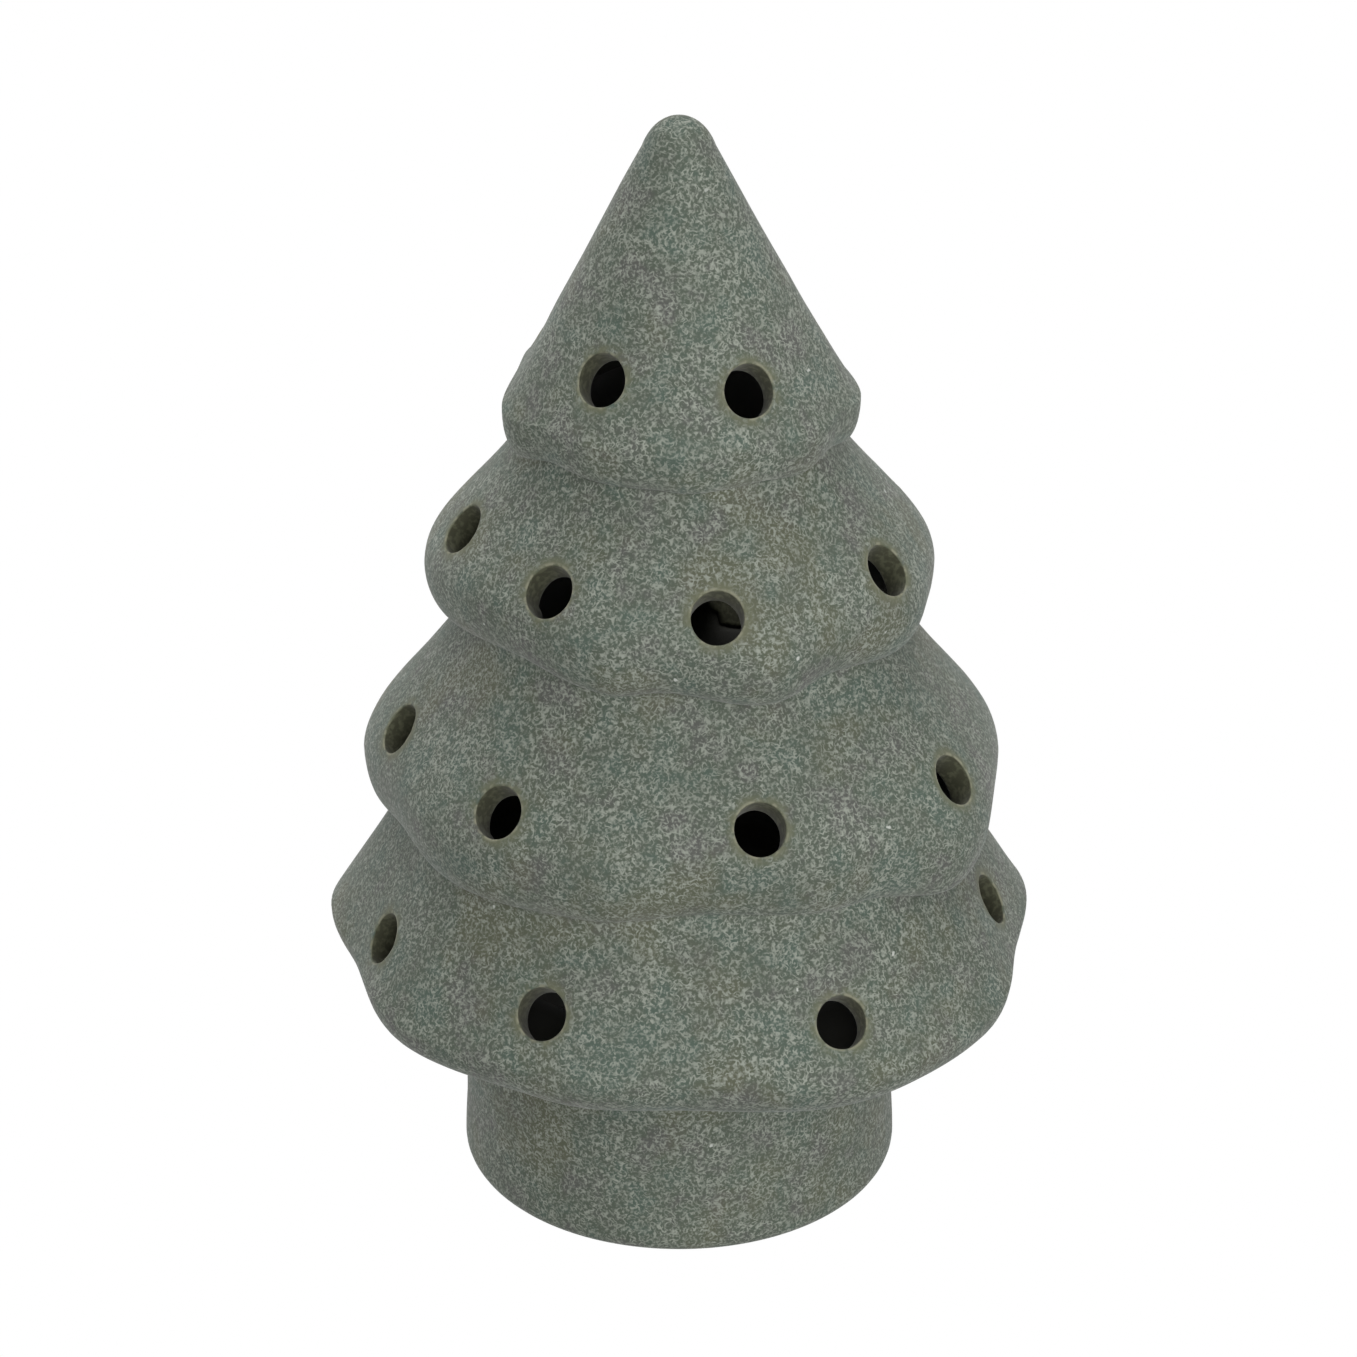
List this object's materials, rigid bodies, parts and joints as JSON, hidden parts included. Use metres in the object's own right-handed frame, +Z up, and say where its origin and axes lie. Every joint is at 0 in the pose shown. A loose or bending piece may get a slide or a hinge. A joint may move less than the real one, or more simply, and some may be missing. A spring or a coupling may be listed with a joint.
{
  "type": "christmas tree tealight house",
  "caption": "Hollow stoneware Christmas tree with soft tiers and round light holes, standing over a battery tealight with a slide switch and a hinged battery door.",
  "frame": {"origin": "centre of the foot ring on the surface the tree stands on", "axes": "+Z up along the tree's axis to its tip, -Y is the front that the picture shows, +X is to the right seen from the front"},
  "size_m": [0.0984, 0.0934, 0.1602],
  "materials": {
    "stoneware": "matte",
    "ivory_plastic": "satin",
    "flame_plastic": "satin",
    "amber_epoxy": "gloss",
    "plated_steel": "satin",
    "cell_steel": "satin",
    "spring_brass": "satin",
    "green_board": "satin",
    "black_plastic": "matte",
    "tinned_lead": "satin",
    "switch_steel": "satin"
  },
  "bodies": {
    "light_unit": {"light_housing": "ivory_plastic", "flame_tip": "flame_plastic", "base_plate": "ivory_plastic", "coin_cell": "cell_steel", "positive_contact": "spring_brass", "negative_contact": "spring_brass", "circuit_board": "green_board", "board_screw_left": "plated_steel", "board_screw_right": "plated_steel", "timer_chip": "black_plastic", "led_lens": "amber_epoxy", "led_leg_positive": "tinned_lead", "led_leg_negative": "tinned_lead", "switch_case": "switch_steel"},
    "tree": {"tree_shell": "stoneware"},
    "battery_door": {"battery_door": "ivory_plastic", "door_screw": "plated_steel"},
    "switch": {"switch_slider": "black_plastic"}
  },
  "joints": [
    {"name": "tree_lift", "type": "slide", "parent": "light_unit", "child": "tree", "axis": [0, 0, 1], "range_m": [0, 0.05]},
    {"name": "switch_slide", "type": "slide", "parent": "light_unit", "child": "switch", "axis": [0, 1, 0], "range_m": [0, 0.003]},
    {"name": "battery_door_swing", "type": "hinge", "parent": "light_unit", "child": "battery_door", "pos_m": [-0.0046, 0.011, 0.0008], "axis": [1, 0, 0], "range_deg": [0, 90]}
  ]
}
